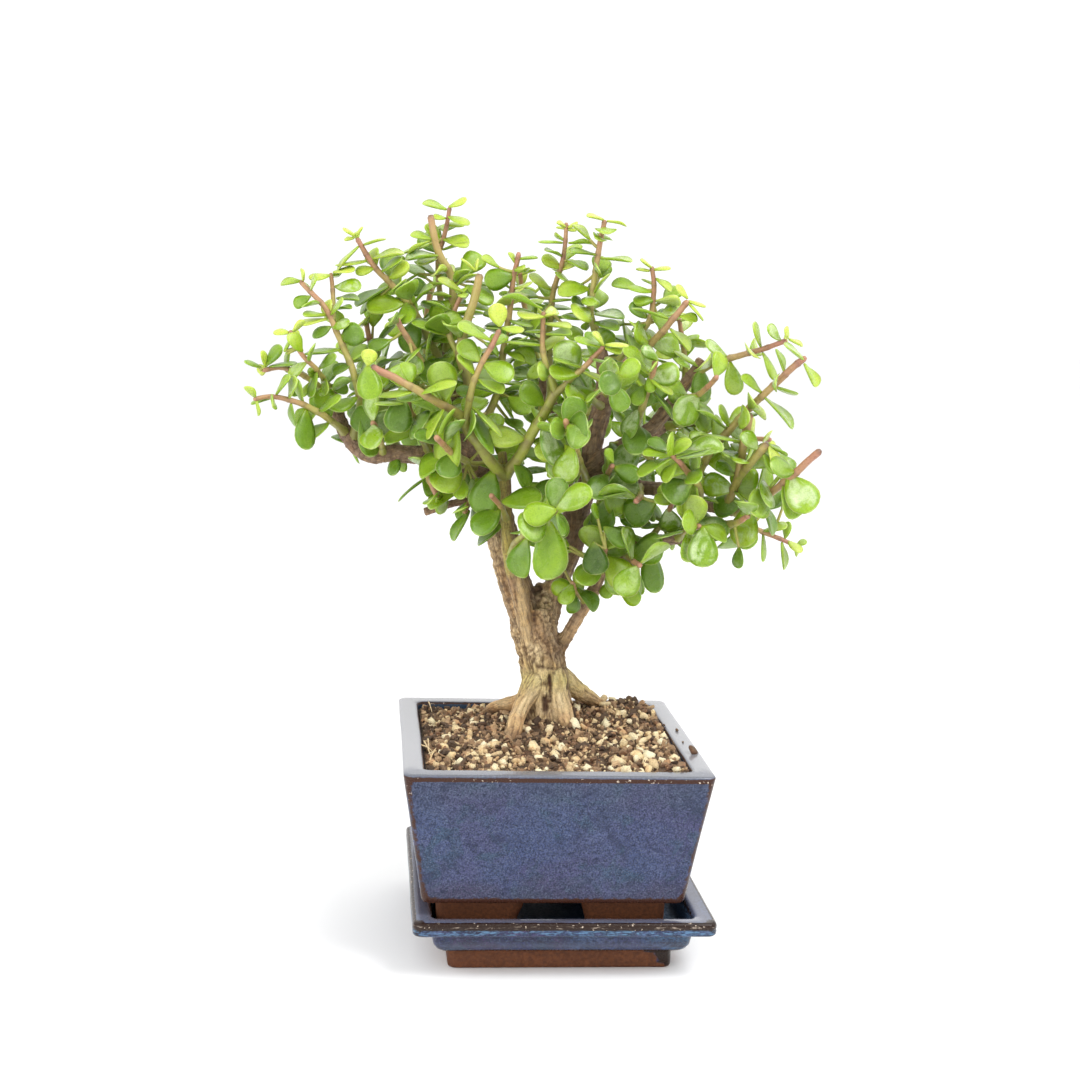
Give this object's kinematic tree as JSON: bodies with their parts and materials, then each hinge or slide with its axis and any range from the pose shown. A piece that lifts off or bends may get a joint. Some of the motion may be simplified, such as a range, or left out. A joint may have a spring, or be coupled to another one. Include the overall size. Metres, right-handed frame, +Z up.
{
  "type": "potted elephant bush",
  "caption": "Elephant bush trained as a small tree, with a forked woody trunk, spreading roots and leafy shoots, in a tapered square glazed pot on a matching footed saucer.",
  "frame": {"origin": "middle of the saucer's underside, where it stands on the table", "axes": "+Z up, +X to the right as seen from the front of the pot, +Y towards its back"},
  "size_m": [0.2679, 0.204, 0.3484],
  "materials": {
    "saucer_glaze": "glossy mottled blue glaze, bare brown clay at the foot",
    "pot_glaze": "glossy mottled blue glaze, bare brown clay at the feet",
    "potting_soil": "matt, crumbly",
    "bark": "matt, fissured",
    "foliage": "waxy, soft gloss"
  },
  "bodies": {
    "root": {"saucer": "saucer_glaze", "pot": "pot_glaze", "soil": "potting_soil", "trunk": "bark", "shoot_back_left_far": "foliage", "shoot_back_left_high": "foliage", "shoot_back_left_low": "foliage", "shoot_back_left_side": "foliage", "shoot_back_middle_far": "foliage", "shoot_back_middle_high": "foliage", "shoot_back_middle_right": "foliage", "shoot_back_right_far": "foliage", "shoot_back_right_high": "foliage", "shoot_back_right_low": "foliage", "shoot_crown_left": "foliage", "shoot_crown_middle": "foliage", "shoot_crown_right": "foliage", "shoot_cut_limb_side": "foliage", "shoot_face_left_low": "foliage", "shoot_face_middle": "foliage", "shoot_face_top": "foliage", "shoot_facing_front": "foliage", "shoot_facing_right": "foliage", "shoot_far_right": "foliage", "shoot_far_right_high": "foliage", "shoot_fork_front": "foliage", "shoot_front_spur": "foliage", "shoot_hanging_left": "foliage", "shoot_hanging_right": "foliage", "shoot_left_arch": "foliage", "shoot_left_arm": "foliage", "shoot_left_face": "foliage", "shoot_left_fork": "foliage", "shoot_left_limb_spur": "foliage", "shoot_left_low": "foliage", "shoot_left_mid_rise": "foliage", "shoot_left_rise": "foliage", "shoot_left_twig": "foliage", "shoot_low_limb_end": "foliage", "shoot_low_limb_front": "foliage", "shoot_low_limb_top": "foliage", "shoot_low_right_tip": "foliage", "shoot_low_spur": "foliage", "shoot_middle_limb_front": "foliage", "shoot_pink_stub": "foliage", "shoot_pruned_right": "foliage", "shoot_right_arm": "foliage", "shoot_right_behind": "foliage", "shoot_right_face": "foliage", "shoot_slant_right": "foliage", "shoot_tall_left": "foliage", "shoot_tall_right": "foliage", "shoot_top_left": "foliage", "shoot_twin_left": "foliage", "shoot_under_left": "foliage", "shoot_under_right": "foliage", "shoot_upper_left": "foliage"}
  },
  "joints": []
}
